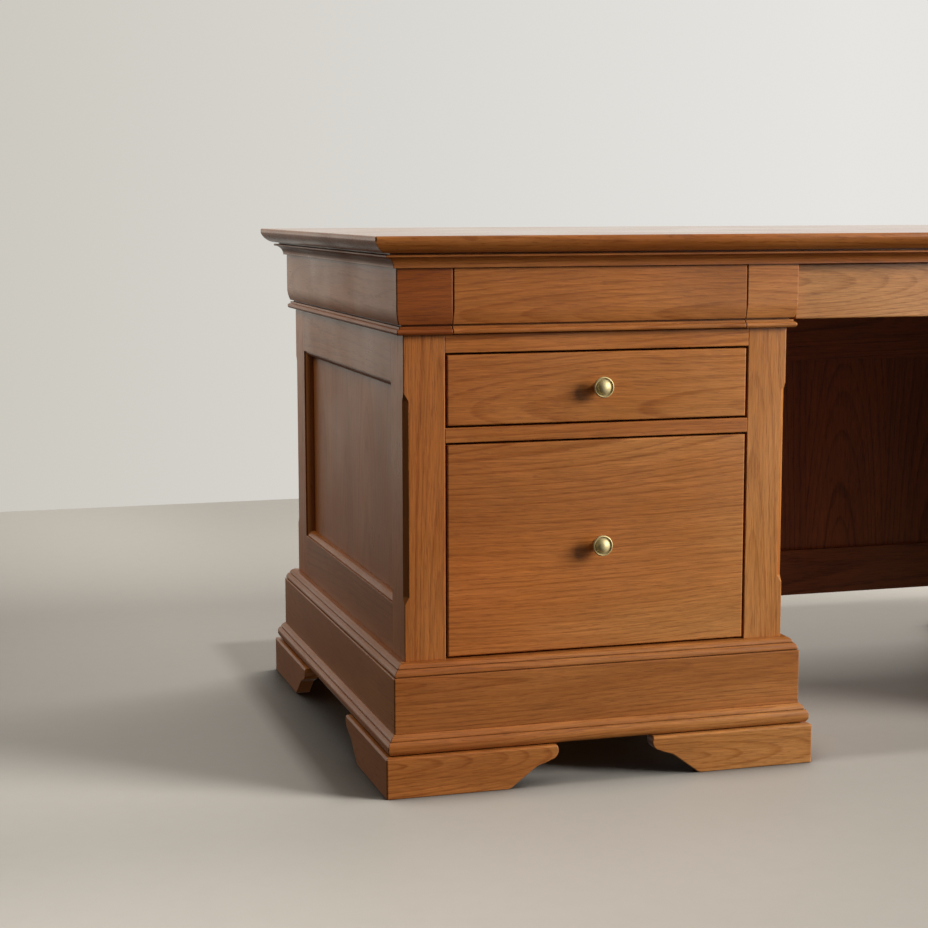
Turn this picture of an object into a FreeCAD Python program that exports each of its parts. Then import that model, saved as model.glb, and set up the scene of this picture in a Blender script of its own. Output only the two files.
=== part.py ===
import FreeCAD, Part
import os
import math

V = FreeCAD.Vector
os.makedirs("parts", exist_ok=True)

# ---------------------------------------------------------------- driving sizes (mm)
# X runs along the desk, -Y is the front, Z is up, the origin is on the floor under the middle.
BODY_L = 1880.0          # over the outer faces of both pedestals
BODY_D = 733.0           # front post face to back post face
PED_W = 576.0            # one pedestal over its posts
POST_W = 60.0            # post, across the front
POST_D = 68.0            # post, along the side
FRAME_T = 28.0           # thickness of side rails and muntins

Z_FOOT = 59.0            # top of the bracket feet
Z_BASE = 88.0            # top of the base moulding
Z_BODY = 186.0           # top of the plinth, bottom of the posts
Z_LOW_OPEN = 492.5       # top of the deep drawer's opening
Z_MID_RAIL = 513.5       # top of the rail between the drawers
Z_UP_OPEN = 618.0        # top of the upper drawer's opening
Z_PED = 644.0            # top of the pedestal
Z_FRIEZE = 736.0         # top of the frieze
Z_SLAB = 757.0           # underside of the top
Z_TOP = 780.0            # writing surface

SIDE_Z0 = 257.0          # side panel opening, bottom
SIDE_Z1 = 575.0          # side panel opening, top
PANEL_IN = 14.0          # how far a side panel lies behind its frame
PANEL_T = 10.0
GROOVE = 8.6             # groove depth for a panel, panels enter 8.0
TONGUE = 8.0

CH_Z0 = 266.0            # stopped chamfer on the posts' outer corners
CH_Z1 = 565.0
CH = 7.0                 # chamfer, measured on each face
CH_RUN = 12.0            # run-out of the chamfer at each end

BLOCK_W = 80.0           # frieze corner block, across the front
FRIEZE_IN = -16.0        # back of the frieze boards, from the post face
GAP = 3.0                # round a drawer front in a pedestal
FGAP = 1.3               # beside a frieze drawer front
MITRE = 0.1              # half of the joint line at a mitre

MOD_T = 24.0             # modesty frame thickness
MOD_Z0 = 168.0           # its bottom edge
MOD_RAIL = 76.0
MOD_STILE = 80.0
MOD_TOP_RAIL = 80.0

DRAWER_BACK = 20.0       # from the desk's middle to a drawer's back
SIDE_T = 12.0            # drawer side and back
BOTTOM_T = 6.0
TAIL = 12.0              # length of the dovetails in a drawer front
SLOT = 5.0               # how far a drawer bottom enters its grooves
KNOB_R = 15.0

XL, YF = BODY_L / 2, BODY_D / 2      # 940, 366.5
XI = XL - PED_W                      # 364, inner face of a pedestal

# ---------------------------------------------------------------- helpers


def box(x0, y0, z0, x1, y1, z1):
    a, b = sorted((x0, x1)), sorted((y0, y1))
    c = sorted((z0, z1))
    return Part.makeBox(a[1] - a[0], b[1] - b[0], c[1] - c[0], V(a[0], b[0], c[0]))


def one(shape):
    """The single solid of a boolean's result."""
    return max(shape.Solids, key=lambda s: s.Volume)


def outline(path, to):
    """A closed face from a path of ("L", point) and ("A", mid, end) steps; to maps 2-D to 3-D."""
    start = at = path[0][1]
    edges = []
    for step in path[1:]:
        end = step[-1]
        if step[0] == "L":
            edges.append(Part.makeLine(to(*at), to(*end)))
        else:
            edges.append(Part.Arc(to(*at), to(*step[1]), to(*end)).toShape())
        at = end
    if (at[0] - start[0]) ** 2 + (at[1] - start[1]) ** 2 > 1e-12:
        edges.append(Part.makeLine(to(*at), to(*start)))
    return Part.Face(Part.Wire(edges))


def plate(points, z0, z1):
    """A prism over a plan polygon."""
    pts = [V(x, y, z0) for x, y in points]
    return Part.Face(Part.makePolygon(pts + pts[:1])).extrude(V(0, 0, z1 - z0))


def run(path, side, x0, x1, y0, y1, lo, hi):
    """A profile (o = outwards, z) run along one side of the rectangle x0..x1, y0..y1, from lo to hi."""
    if side == "front":
        return outline(path, lambda o, z: V(lo, y0 - o, z)).extrude(V(hi - lo, 0, 0))
    if side == "back":
        return outline(path, lambda o, z: V(lo, y1 + o, z)).extrude(V(hi - lo, 0, 0))
    if side == "left":
        return outline(path, lambda o, z: V(x0 - o, lo, z)).extrude(V(0, hi - lo, 0))
    return outline(path, lambda o, z: V(x1 + o, lo, z)).extrude(V(0, hi - lo, 0))


def mitre(shape, side, x0, x1, y0, y1, low=True, high=True, cut_lo=None, cut_hi=None):
    """Trims a run to 45 degree mitres at its low and high end, or square at cut_lo / cut_hi."""
    e, g = 90.0, MITRE
    if side in ("front", "back"):
        s = -1 if side == "front" else 1
        yb = y0 if side == "front" else y1
        lo_out, lo_in = (x0 - e + g, x0 + e + g) if low else (cut_lo, cut_lo)
        hi_out, hi_in = (x1 + e - g, x1 - e - g) if high else (cut_hi, cut_hi)
        poly = [(lo_out, yb + s * e), (hi_out, yb + s * e), (hi_in, yb - s * e), (lo_in, yb - s * e)]
    else:
        s = -1 if side == "left" else 1
        xb = x0 if side == "left" else x1
        lo_out, lo_in = (y0 - e + g, y0 + e + g) if low else (cut_lo, cut_lo)
        hi_out, hi_in = (y1 + e - g, y1 - e - g) if high else (cut_hi, cut_hi)
        poly = [(xb + s * e, lo_out), (xb + s * e, hi_out), (xb - s * e, hi_in), (xb - s * e, lo_in)]
    return one(shape.common(plate(poly, -5, 900)))


def ring(path, x0, x1, y0, y1):
    """Four mitred lengths of a profile round a rectangle."""
    made = []
    for side in ("front", "back", "left", "right"):
        lo, hi = (x0 - 80, x1 + 80) if side in ("front", "back") else (y0 - 80, y1 + 80)
        made.append(mitre(run(path, side, x0, x1, y0, y1, lo, hi), side, x0, x1, y0, y1))
    return made


def fillet_where(shape, r, test):
    """Rounds the edges whose middle passes the test."""
    picked = []
    for e in shape.Edges:
        c = e.CenterOfMass
        if test(c, e):
            picked.append(e)
    return shape.makeFillet(r, picked) if picked else shape


def near(a, b):
    return abs(a - b) < 0.01


def ease(shapes, x0, x1, y0, y1, r, z0, z1):
    """Rounds the standing corners of pieces that meet at the rectangle x0..x1, y0..y1."""
    tools = []
    for x, sx in ((x0, 1), (x1, -1)):
        for y, sy in ((y0, 1), (y1, -1)):
            corner = box(x - sx, y - sy, z0, x + sx * r, y + sy * r, z1)
            tools.append(corner.cut(Part.makeCylinder(r, z1 - z0, V(x + sx * r, y + sy * r, z0))))
    tool = Part.makeCompound(tools)
    return [one(s.cut(tool)) for s in shapes]


def half_turn(shape):
    """The same piece on the opposite corner of the desk."""
    s = shape.copy()
    s.rotate(V(0, 0, 0), V(0, 0, 1), 180)
    return s


def both(shapes):
    return list(shapes) + [half_turn(s) for s in shapes]


def save(node, shapes):
    shapes = list(shapes) if isinstance(shapes, (list, tuple)) else [shapes]
    for s in shapes:
        assert len(s.Solids) == 1 and s.isValid() and s.Volume > 0, node
    solids = [s.Solids[0] for s in shapes]
    shape = solids[0] if len(solids) == 1 else Part.makeCompound(solids)
    shape.exportStep("parts/%s.step" % node)


# ---------------------------------------------------------------- profiles (o = outwards from the post face, z)
SLAB_EDGE_OUT, SLAB_EDGE_IN = 50.0, 33.0

CORNICE = [
    ("L", (-40, 736.0)), ("L", (17.0, 736.0)), ("L", (17.0, 738.0)),
    ("A", (20.3, 746.0), (27.0, 750.8)),
    ("L", (29.0, 750.8)), ("A", (30.6, 752.5), (29.2, 754.2)),
    ("L", (23.0, 754.2)), ("L", (23.0, 757.0)), ("L", (-40, 757.0)),
]

FRIEZE = [
    ("L", (FRIEZE_IN, 736.0)), ("L", (12.0, 736.0)), ("L", (12.0, 682.0)),
    ("A", (11.1, 669.8), (7.8, 658.4)),
    ("L", (2.6, 658.4)), ("L", (2.6, 655.6)), ("L", (7.2, 655.6)), ("L", (7.2, 652.6)),
    ("A", (11.5, 648.3), (7.2, 644.0)), ("L", (FRIEZE_IN, 644.0)),
]

PLINTH = [
    ("L", (-19, 88.0)), ("L", (21.0, 88.0)), ("L", (21.0, 166.4)), ("A", (20.6, 167.4), (19.6, 167.8)),
    ("L", (17.2, 167.8)), ("L", (17.2, 169.2)), ("L", (19.0, 169.2)),
    ("A", (17.9, 174.4), (14.6, 178.2)), ("L", (12.9, 178.2)), ("L", (12.9, 179.0)), ("L", (13.6, 179.0)),
    ("A", (11.6, 183.0), (8.2, 185.4)), ("L", (7.0, 186.0)), ("L", (-19, 186.0)),
]

BASE = [
    ("L", (-19, 59.0)), ("L", (24.0, 59.0)), ("L", (24.0, 60.9)), ("L", (29.2, 60.9)),
    ("A", (32.0, 65.2), (32.8, 70.6)), ("A", (31.8, 75.6), (29.2, 79.0)),
    ("L", (27.2, 79.0)), ("L", (27.2, 79.9)), ("L", (27.8, 79.9)),
    ("A", (26.2, 83.9), (22.9, 87.0)), ("L", (22.2, 88.0)), ("L", (-19, 88.0)),
]

FOOT_SECTION = [
    ("L", (14.5, 0.0)), ("L", (36.5, 0.0)), ("L", (36.5, 54.6)),
    ("A", (35.6, 57.4), (33.0, 58.6)), ("L", (14.5, 58.6)),
]

# Bracket outline: s from the outer corner along the face, z up; it runs on past the corner and the top.
FOOT_EASE = 1.4
FOOT_OUTLINE = [
    ("L", (-20.0, 0.0)), ("L", (176.0, 0.0)), ("A", (180.6, 0.9), (184.6, 3.4)),
    ("L", (216.5, 27.2)), ("A", (221.0, 30.2), (226.2, 32.3)),
    ("A", (234.0, 34.6), (242.0, 38.0)),
    ("A", (252.4, 47.6), (250.4, 58.6)), ("L", (250.4, 80.0)), ("L", (-20.0, 80.0)),
]

# ---------------------------------------------------------------- top
def slab_section(half):
    o, i = half + SLAB_EDGE_OUT, half + SLAB_EDGE_IN
    m, r = half + 43.6, 2.8
    q = r * (1 - math.sqrt(0.5))
    return [
        ("L", (-i, Z_SLAB)), ("L", (i, Z_SLAB)), ("A", (m, 763.4), (o, 774.0)),
        ("L", (o, Z_TOP - r)), ("A", (o - q, Z_TOP - q), (o - r, Z_TOP)),
        ("L", (-(o - r), Z_TOP)), ("A", (-(o - q), Z_TOP - q), (-o, Z_TOP - r)),
        ("L", (-o, 774.0)), ("A", (-m, 763.4), (-i, Z_SLAB)),
    ]


L_ALL, D_ALL = XL + 60, YF + 60
slab_x = outline(slab_section(YF), lambda y, z: V(-L_ALL, y, z)).extrude(V(2 * L_ALL, 0, 0))
slab_y = outline(slab_section(XL), lambda x, z: V(x, -D_ALL, z)).extrude(V(0, 2 * D_ALL, 0))
SX, SY = XL + SLAB_EDGE_OUT, YF + SLAB_EDGE_OUT
save("top_panel", ease([one(slab_x.common(slab_y))], -SX, SX, -SY, SY, 2.5, Z_SLAB - 1, Z_TOP + 1))

save("cornice_mouldings", ring(CORNICE, -XL, XL, -YF, YF))

# Battens under the top and the cross rails between front and back frieze drawers.
BAT = 14.0
rails = [
    box(-XI - 16, -YF + 41, Z_FRIEZE, -XI + 12, YF - 41, Z_SLAB),
    box(-XL + 41, -BAT, Z_FRIEZE, -XI - 16.2, BAT, Z_SLAB),
    box(-XL + 16.1, -10, Z_PED, -XI - 16.1, 10, Z_FRIEZE),
]
centre_batten = box(-XI + 12.2, -BAT, Z_FRIEZE, XI - 12.2, BAT, Z_SLAB)
centre_rail = box(-XI + 12.1, -10, Z_PED, XI - 12.1, 10, Z_FRIEZE)
save("top_frame_rails", both(rails) + [centre_batten, centre_rail])


def wood_screw(x, y, z0, length, r, head):
    """A countersunk screw pointing up, its head flush at z0."""
    cone = Part.makeCone(head, r, head - r, V(x, y, z0))
    shank = Part.makeCylinder(r, length - 4, V(x, y, z0))
    tip = Part.makeCone(r, 0.4, 4, V(x, y, z0 + length - 4))
    return one(cone.fuse(shank).fuse(tip).removeSplitter())


screws = [wood_screw(-XI - 2, y, Z_FRIEZE, 36, 2.4, 4.8) for y in (-250, -120, 120, 250)]
screws += [wood_screw(x, 0, Z_FRIEZE, 36, 2.4, 4.8) for x in (-790, -520)]
screws = both(screws) + [wood_screw(x, 0, Z_FRIEZE, 36, 2.4, 4.8) for x in (-180, 0, 180)]

# ---------------------------------------------------------------- frieze
PX0, PX1 = -XL, -XI                   # the left pedestal's rectangle
side_boards, blocks = [], []
for side in ("left", "right"):
    b = run(FRIEZE, side, PX0, PX1, -YF, YF, -YF - 80, YF + 80)
    side_boards.append(mitre(b, side, PX0, PX1, -YF, YF))
OUT_CUT = PX0 - 12.0 + BLOCK_W        # where the blocks end beside the drawer front
IN_CUT = PX1 + 12.0 - BLOCK_W
for side in ("front", "back"):
    b = run(FRIEZE, side, PX0, PX1, -YF, YF, PX0 - 80, PX1 + 80)
    blocks.append(mitre(b, side, PX0, PX1, -YF, YF, True, False, None, OUT_CUT))
    blocks.append(mitre(b, side, PX0, PX1, -YF, YF, False, True, IN_CUT, None))
FX = (PX0 - 12, PX1 + 12, -YF - 12, YF + 12, 1.4, Z_PED - 1, Z_FRIEZE + 1)
side_boards, blocks = ease(side_boards, *FX), ease(blocks, *FX)
save("frieze_side_boards", both(side_boards))


def easing(x, s, z0, z1, c=0.9):
    """A tool that takes the arris off a frieze face at its end x; s points into the wood."""
    y = -YF - 12.0
    pts = [(x - s * 0.5, y - 0.5), (x + s * (c + 0.5), y - 0.5), (x - s * 0.5, y + c + 0.5)]
    return plate(pts, z0, z1)


ends = [easing(OUT_CUT, -1, Z_PED - 1, Z_FRIEZE + 1), easing(IN_CUT, 1, Z_PED - 1, Z_FRIEZE + 1)]
for e in list(ends):
    ends.append(e.mirror(V(0, 0, 0), V(0, 1, 0)))
tool = Part.makeCompound(ends)
blocks = [one(b.cut(tool)) for b in blocks]
save("frieze_corner_blocks", both(blocks))

ledges = []
y_in, y_out = -10.0, -YF - FRIEZE_IN
for s in (1, -1):                     # front pair and back pair
    for x0, xg, x1 in ((PX0 + 16, OUT_CUT + 0.3, OUT_CUT + 22), (PX1 - 16, IN_CUT - 0.3, IN_CUT - 22)):
        ledges.append(box(x0, s * y_out, Z_PED, x1, s * y_in, 656.0))
        ledges.append(box(x0, s * y_out, 656.0, xg, s * y_in, 676.0))
    ledges.append(box(-XI + 12, s * (-YF + 22), 656.0, -XI + 36, s * y_in, 669.0))
save("frieze_drawer_runners", both(ledges))

# ---------------------------------------------------------------- pedestals
def post(x_out, sx, y_out, sy, groove_x):
    """A corner post; sx, sy point from its outer corner inwards, groove_x is the panel's X range."""
    p = box(x_out, y_out, Z_BODY, x_out + sx * POST_W, y_out + sy * POST_D, Z_PED)
    p = fillet_where(p, 1.4, lambda c, e: near(c.y, y_out) and near(c.z, (Z_BODY + Z_PED) / 2))
    g0, g1 = groove_x
    yi = y_out + sy * POST_D
    p = p.cut(box(g0, yi - sy * GROOVE, SIDE_Z0 - GROOVE, g1, yi + sy * 1, SIDE_Z1 + GROOVE))
    # stopped chamfer: a tool with sloped ends, on the diagonal through the outer corner
    d = CH / math.sqrt(2)
    k = CH_RUN / d
    out = 12.0
    prof = [(-out, CH_Z0 - out * k), (d, CH_Z0 + CH_RUN), (d, CH_Z1 - CH_RUN), (-out, CH_Z1 + out * k)]
    u = V(sx, sy, 0).normalize()
    w = V(-u.y, u.x, 0)
    corner = V(x_out, y_out, 0)
    pts = [corner + u * a - w * 30 + V(0, 0, z) for a, z in prof]
    tool = Part.Face(Part.makePolygon(pts + pts[:1])).extrude(w * 60)
    return one(p.cut(tool))


OUT_G = (PX0 + PANEL_IN - 0.2, PX0 + PANEL_IN + PANEL_T + 0.2)
IN_G = (PX1 - PANEL_IN - PANEL_T - 0.2, PX1 - PANEL_IN + 0.2)
left_posts = [
    post(PX0, 1, -YF, 1, OUT_G), post(PX1, -1, -YF, 1, IN_G),
    post(PX0, 1, YF, -1, OUT_G), post(PX1, -1, YF, -1, IN_G),
]
save("left_corner_posts", left_posts)
save("right_corner_posts", [half_turn(p) for p in left_posts])

YS = YF - POST_D                      # 298.5, half of a side panel's opening
MUNTIN = 40.0
side_rails = []
for x0, x1, g in ((PX0, PX0 + FRAME_T, OUT_G), (PX1 - FRAME_T, PX1, IN_G)):
    low = box(x0, -YS, Z_BODY, x1, YS, SIDE_Z0).cut(box(g[0], -YS - 1, SIDE_Z0 - GROOVE, g[1], YS + 1, SIDE_Z0 + 1))
    top = box(x0, -YS, SIDE_Z1, x1, YS, Z_PED).cut(box(g[0], -YS - 1, SIDE_Z1 - 1, g[1], YS + 1, SIDE_Z1 + GROOVE))
    side_rails += [one(low), one(top)]
mun = box(PX1 - FRAME_T, -MUNTIN, SIDE_Z0, PX1, MUNTIN, SIDE_Z1)
for s in (1, -1):
    mun = mun.cut(box(IN_G[0], s * (MUNTIN - GROOVE), SIDE_Z0 - 1, IN_G[1], s * (MUNTIN + 1), SIDE_Z1 + 1))
side_rails.append(one(mun))
save("side_rails", both(side_rails))

t = TONGUE
pz0, pz1 = SIDE_Z0 - t, SIDE_Z1 + t
side_panels = [box(PX0 + PANEL_IN, -YS - t, pz0, PX0 + PANEL_IN + PANEL_T, YS + t, pz1)]
for s in (1, -1):
    side_panels.append(box(PX1 - PANEL_IN - PANEL_T, s * (MUNTIN - t), pz0, PX1 - PANEL_IN, s * (YS + t), pz1))
save("side_panels", both(side_panels))

# Planted mouldings round each side panel: w from the frame edge, h above the panel.
BEAD = [("L", (0, 0)), ("L", (0, 11.6)), ("L", (2.0, 11.6)), ("A", (6.9, 8.2), (9.0, 2.2)), ("L", (9.0, 0))]


def strips(xp, sx, y0, y1, z0, z1):
    e, g, far = 30.0, MITRE, 12.0
    made = []
    for kind in ("bottom", "top", "near", "far"):
        if kind in ("bottom", "top"):
            zb, s = (z0, 1) if kind == "bottom" else (z1, -1)
            b = outline(BEAD, lambda w, h: V(xp + sx * h, y0, zb + s * w)).extrude(V(0, y1 - y0, 0))
            poly = [(y0 + g, zb), (y1 - g, zb), (y1 - e - g, zb + s * e), (y0 + e + g, zb + s * e)]
        else:
            yb, s = (y0, 1) if kind == "near" else (y1, -1)
            b = outline(BEAD, lambda w, h: V(xp + sx * h, yb + s * w, z0)).extrude(V(0, 0, z1 - z0))
            poly = [(yb, z0 + g), (yb, z1 - g), (yb + s * e, z1 - e - g), (yb + s * e, z0 + e + g)]
        pts = [V(xp - 40, y, z) for y, z in poly]
        made.append(one(b.common(Part.Face(Part.makePolygon(pts + pts[:1])).extrude(V(80, 0, 0)))))
    return made


beads = strips(PX0 + PANEL_IN, -1, -YS, YS, SIDE_Z0, SIDE_Z1)
for y0, y1 in ((-YS, -MUNTIN), (MUNTIN, YS)):
    beads += strips(PX1 - PANEL_IN, 1, y0, y1, SIDE_Z0, SIDE_Z1)
save("panel_mouldings", both(beads))

OPEN0, OPEN1 = PX0 + POST_W, PX1 - POST_W     # drawer opening of a pedestal
drawer_rails = []
for s in (-1, 1):
    for z0, z1 in ((Z_LOW_OPEN, Z_MID_RAIL), (Z_UP_OPEN, Z_PED)):
        r = box(OPEN0, s * YF, z0, OPEN1, s * (YF - POST_D), z1)
        drawer_rails.append(fillet_where(r, 1.2, lambda c, e: near(c.y, s * YF) and near(c.x, (OPEN0 + OPEN1) / 2)))
save("drawer_rails", both(drawer_rails))

runners = []
for s in (-1, 1):
    ya, yb = s * YS, s * 6.0
    for xo, x_open, k in ((PX0 + FRAME_T, OPEN0, 1), (PX1 - FRAME_T, OPEN1, -1)):
        runners.append(box(xo, ya, Z_MID_RAIL - 15, x_open + k * 20, yb, Z_MID_RAIL))
        runners.append(box(xo, ya, Z_MID_RAIL, x_open + k * 1.6, yb, Z_MID_RAIL + 16))
        runners.append(box(xo, ya, Z_BODY, x_open + k * 1.6, yb, Z_BODY + 20))
save("pedestal_drawer_runners", both(runners))

divider = box(PX0 + FRAME_T, -6, Z_BODY, PX1 - FRAME_T, 6, Z_PED - 18)
save("pedestal_dividers", both([divider]))
ped_top = box(PX0 + FRAME_T, -YS, Z_PED - 18, PX1 - FRAME_T, YS, Z_PED)
ped_bottom = box(PX0 + 19, -YF + 19, Z_BODY - 18, PX1 - 19, YF - 19, Z_BODY)
save("pedestal_boards", both([ped_top, ped_bottom]))


def bolt(x, y):
    """A hex bolt from below through the pedestal's top board into the runner above."""
    pts = [V(x + 6.5 * math.cos(math.radians(a)), y + 6.5 * math.sin(math.radians(a)), 620.5) for a in range(0, 360, 60)]
    head = Part.Face(Part.makePolygon(pts + pts[:1])).extrude(V(0, 0, 5.5))
    return one(head.fuse(Part.makeCylinder(3.0, 27.0, V(x, y, 626.0))).removeSplitter())


bolts = [bolt(x, y) for x in (PX0 + 44, PX1 - 44) for y in (-200, 200)]
save("top_and_pedestal_fixings", screws + both(bolts))

def pedestal_corner(o, r, z0, z1):
    return (PX0 - o, PX1 + o, -YF - o, YF + o, r, z0, z1)


save("plinth_boards", both(ease(ring(PLINTH, PX0, PX1, -YF, YF), *pedestal_corner(21.0, 2.0, 87, 187))))
save("base_mouldings", both(ease(ring(BASE, PX0, PX1, -YF, YF), *pedestal_corner(33.0, 2.0, 58, 89))))

feet, foot_blocks = [], []
for sx, xc in ((1, PX0), (-1, PX1)):          # outer corner pair, inner corner pair
    for sy, yc in ((1, -YF), (-1, YF)):
        xo, yo = xc - sx * 36.5, yc - sy * 36.5
        side = "front" if sy == 1 else "back"
        a = run(FOOT_SECTION, side, PX0, PX1, -YF, YF, min(xo, xo + sx * 260), max(xo, xo + sx * 260))
        cut = outline(FOOT_OUTLINE, lambda q, z: V(xo + sx * q, yo, z)).extrude(V(0, sy * 60, 0))
        cut = fillet_where(cut, FOOT_EASE, lambda c, e: near(c.y, yo) and c.z < 70)
        a = one(a.common(cut))
        lohi = (True, False, None, xc + 400) if sx == 1 else (False, True, xc - 400, None)
        feet.append(mitre(a, side, PX0, PX1, -YF, YF, *lohi))
        side = "left" if sx == 1 else "right"
        b = run(FOOT_SECTION, side, PX0, PX1, -YF, YF, min(yo, yo + sy * 260), max(yo, yo + sy * 260))
        cut = outline(FOOT_OUTLINE, lambda q, z: V(xo, yo + sy * q, z)).extrude(V(sx * 60, 0, 0))
        cut = fillet_where(cut, FOOT_EASE, lambda c, e: near(c.x, xo) and c.z < 70)
        b = one(b.common(cut))
        lohi = (True, False, None, yc + 400) if sy == 1 else (False, True, yc - 400, None)
        feet.append(mitre(b, side, PX0, PX1, -YF, YF, *lohi))
        bx, by = xc - sx * 14.5, yc - sy * 14.5
        foot_blocks.append(box(bx, by, 1.5, bx + sx * 62, by + sy * 62, Z_FOOT))
feet = ease(feet, *pedestal_corner(36.5, 2.4, -1, Z_FOOT))
save("bracket_feet", both(feet))
save("foot_blocks", both(foot_blocks))

# ---------------------------------------------------------------- modesty panel in the kneehole
h, zt = MOD_T / 2, Z_PED - 0.5
mx = XI - MOD_STILE
gz = 5.2                                        # half of the groove
stile = box(-XI, -h, MOD_Z0, -mx, h, zt).cut(
    box(-mx - GROOVE, -gz, MOD_Z0 + MOD_RAIL - GROOVE, -mx + 1, gz, zt - MOD_TOP_RAIL + GROOVE))
mod_low = box(-mx, -h, MOD_Z0, mx, h, MOD_Z0 + MOD_RAIL).cut(
    box(-mx - 1, -gz, MOD_Z0 + MOD_RAIL - GROOVE, mx + 1, gz, MOD_Z0 + MOD_RAIL + 1))
mod_top = box(-mx, -h, zt - MOD_TOP_RAIL, mx, h, zt).cut(
    box(-mx - 1, -gz, zt - MOD_TOP_RAIL - 1, mx + 1, gz, zt - MOD_TOP_RAIL + GROOVE))
stile = stile.cut(box(-XI - 1, -h - 1, MOD_Z0 - 1, -XI + 21.4, h + 1, Z_BODY + 0.2))
save("modesty_frame", both([one(stile)]) + [one(mod_low), one(mod_top)])
save("modesty_panel", box(-mx - t, -5, MOD_Z0 + MOD_RAIL - t, mx + t, 5, zt - MOD_TOP_RAIL + t))

# ---------------------------------------------------------------- drawers
def tail_prisms(x0, x1, y_front, z0, z1, play):
    """Dovetails from a drawer side into the back of its front, between x0 and x1; play widens them into sockets."""
    count = max(2, round((z1 - z0) / 38.0))
    pitch = (z1 - z0) / count
    made = []
    for i in range(count):
        zc = z0 + pitch * (i + 0.5)
        a = pitch * 0.31 + play                  # half width at the shoulder
        b = a + TAIL / 7.0                       # half width at the tip
        y_tip = y_front - TAIL - play
        pts = [V(x0, y_front + 0.5, zc - a), V(x0, y_front + 0.5, zc + a), V(x0, y_front, zc + a),
               V(x0, y_tip, zc + b), V(x0, y_tip, zc - b), V(x0, y_front, zc - a)]
        made.append(Part.Face(Part.makePolygon(pts + pts[:1])).extrude(V(x1 - x0, 0, 0)))
    return made


def drawer_box(front, x0, x1, y_front, z0, z1, lift):
    """The front cut for its joints, and two sides, a back and a bottom between x0 and x1, behind y_front; lift is the bottom's height in the sides."""
    yb, s = -DRAWER_BACK, SIDE_T
    zb = z0 + lift
    groove = box(x0 + s - SLOT - 0.2, y_front - SLOT - 0.4, zb - 0.15, x1 - s + SLOT + 0.2, yb + 1, zb + BOTTOM_T + 0.15)
    round_top = lambda c, e: near(c.z, z1) and near(c.y, (y_front + yb) / 2)
    sides, sockets = [], []
    for xa, xb, xo in ((x0, x0 + s, x0 - 8), (x1 - s, x1, x1 + 8)):
        b = fillet_where(box(xa, y_front, z0, xb, yb, z1), 2.5, round_top)
        for t in tail_prisms(xa, xb, y_front, z0, z1 - 2.5, 0.0):
            b = b.fuse(t)
        sides.append(one(b.removeSplitter().cut(groove)))
        lo, hi = (xo, xb + 0.1) if xo < xa else (xa - 0.1, xo)
        sockets += tail_prisms(lo, hi, y_front, z0, z1 - 2.5, 0.1)
    front = one(front.cut(Part.makeCompound(sockets)).cut(groove))
    bottom = box(x0 + s - SLOT, y_front - SLOT, zb, x1 - s + SLOT, yb, zb + BOTTOM_T)
    back = box(x0 + s, yb - s, zb + BOTTOM_T + 0.15, x1 - s, yb, z1 - 6)
    return front, sides + [bottom, back]


def flat_front(x0, x1, z0, z1):
    f = box(x0, -YF, z0, x1, -YF + 20, z1)
    return fillet_where(f, 1.8, lambda c, e: near(c.y, -YF))


# The knob's dome is part of a sphere centred on its axis.
DOME_R, DOME_Z, DOME_H = 9.8, 18.3, 4.8
SPHERE = (DOME_R ** 2 + DOME_H ** 2) / (2 * DOME_H)
TILT = math.asin(DOME_R / SPHERE) / 2
DOME_MID = (SPHERE * math.sin(TILT), DOME_Z + DOME_H - SPHERE * (1 - math.cos(TILT)))
KNOB = [
    ("L", (0, -17.0)), ("L", (2.2, -17.0)), ("L", (2.2, 0.0)), ("L", (8.6, 0.0)), ("L", (8.6, 1.6)),
    ("A", (6.7, 4.0), (6.2, 8.0)), ("A", (8.6, 12.2), (13.4, 14.0)),
    ("A", (KNOB_R, 16.2), (13.6, 18.4)), ("A", (11.75, 16.7), (DOME_R, DOME_Z)),
    ("A", DOME_MID, (0, DOME_Z + DOME_H)),
]


def knob(x, z):
    """A turned knob with its screw shank in the drawer front."""
    face = outline(KNOB, lambda r, d: V(r, -d, 0))
    k = face.revolve(V(0, 0, 0), V(0, 1, 0), 360)
    k = k if k.Volume > 0 else k.reversed()
    k = Part.Solid(k.Shells[0]) if k.ShapeType != "Solid" else k
    k.translate(V(x, -YF, z))
    return k


def put(name, front, parts, kn=None):
    """Saves one drawer at the front and its twin at the opposite corner."""
    other = {"left": "right", "right": "left", "centre": "centre"}
    place, kind = name
    for label, turn in (("front_" + place, lambda s: s), ("back_" + other[place], half_turn)):
        stem = label + ("_" + kind if kind else "")
        save(stem + "_drawer_front", turn(front))
        save(stem + "_drawer_box", [turn(p) for p in parts])
        if kn:
            save(stem + "_knob", turn(kn))


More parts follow.
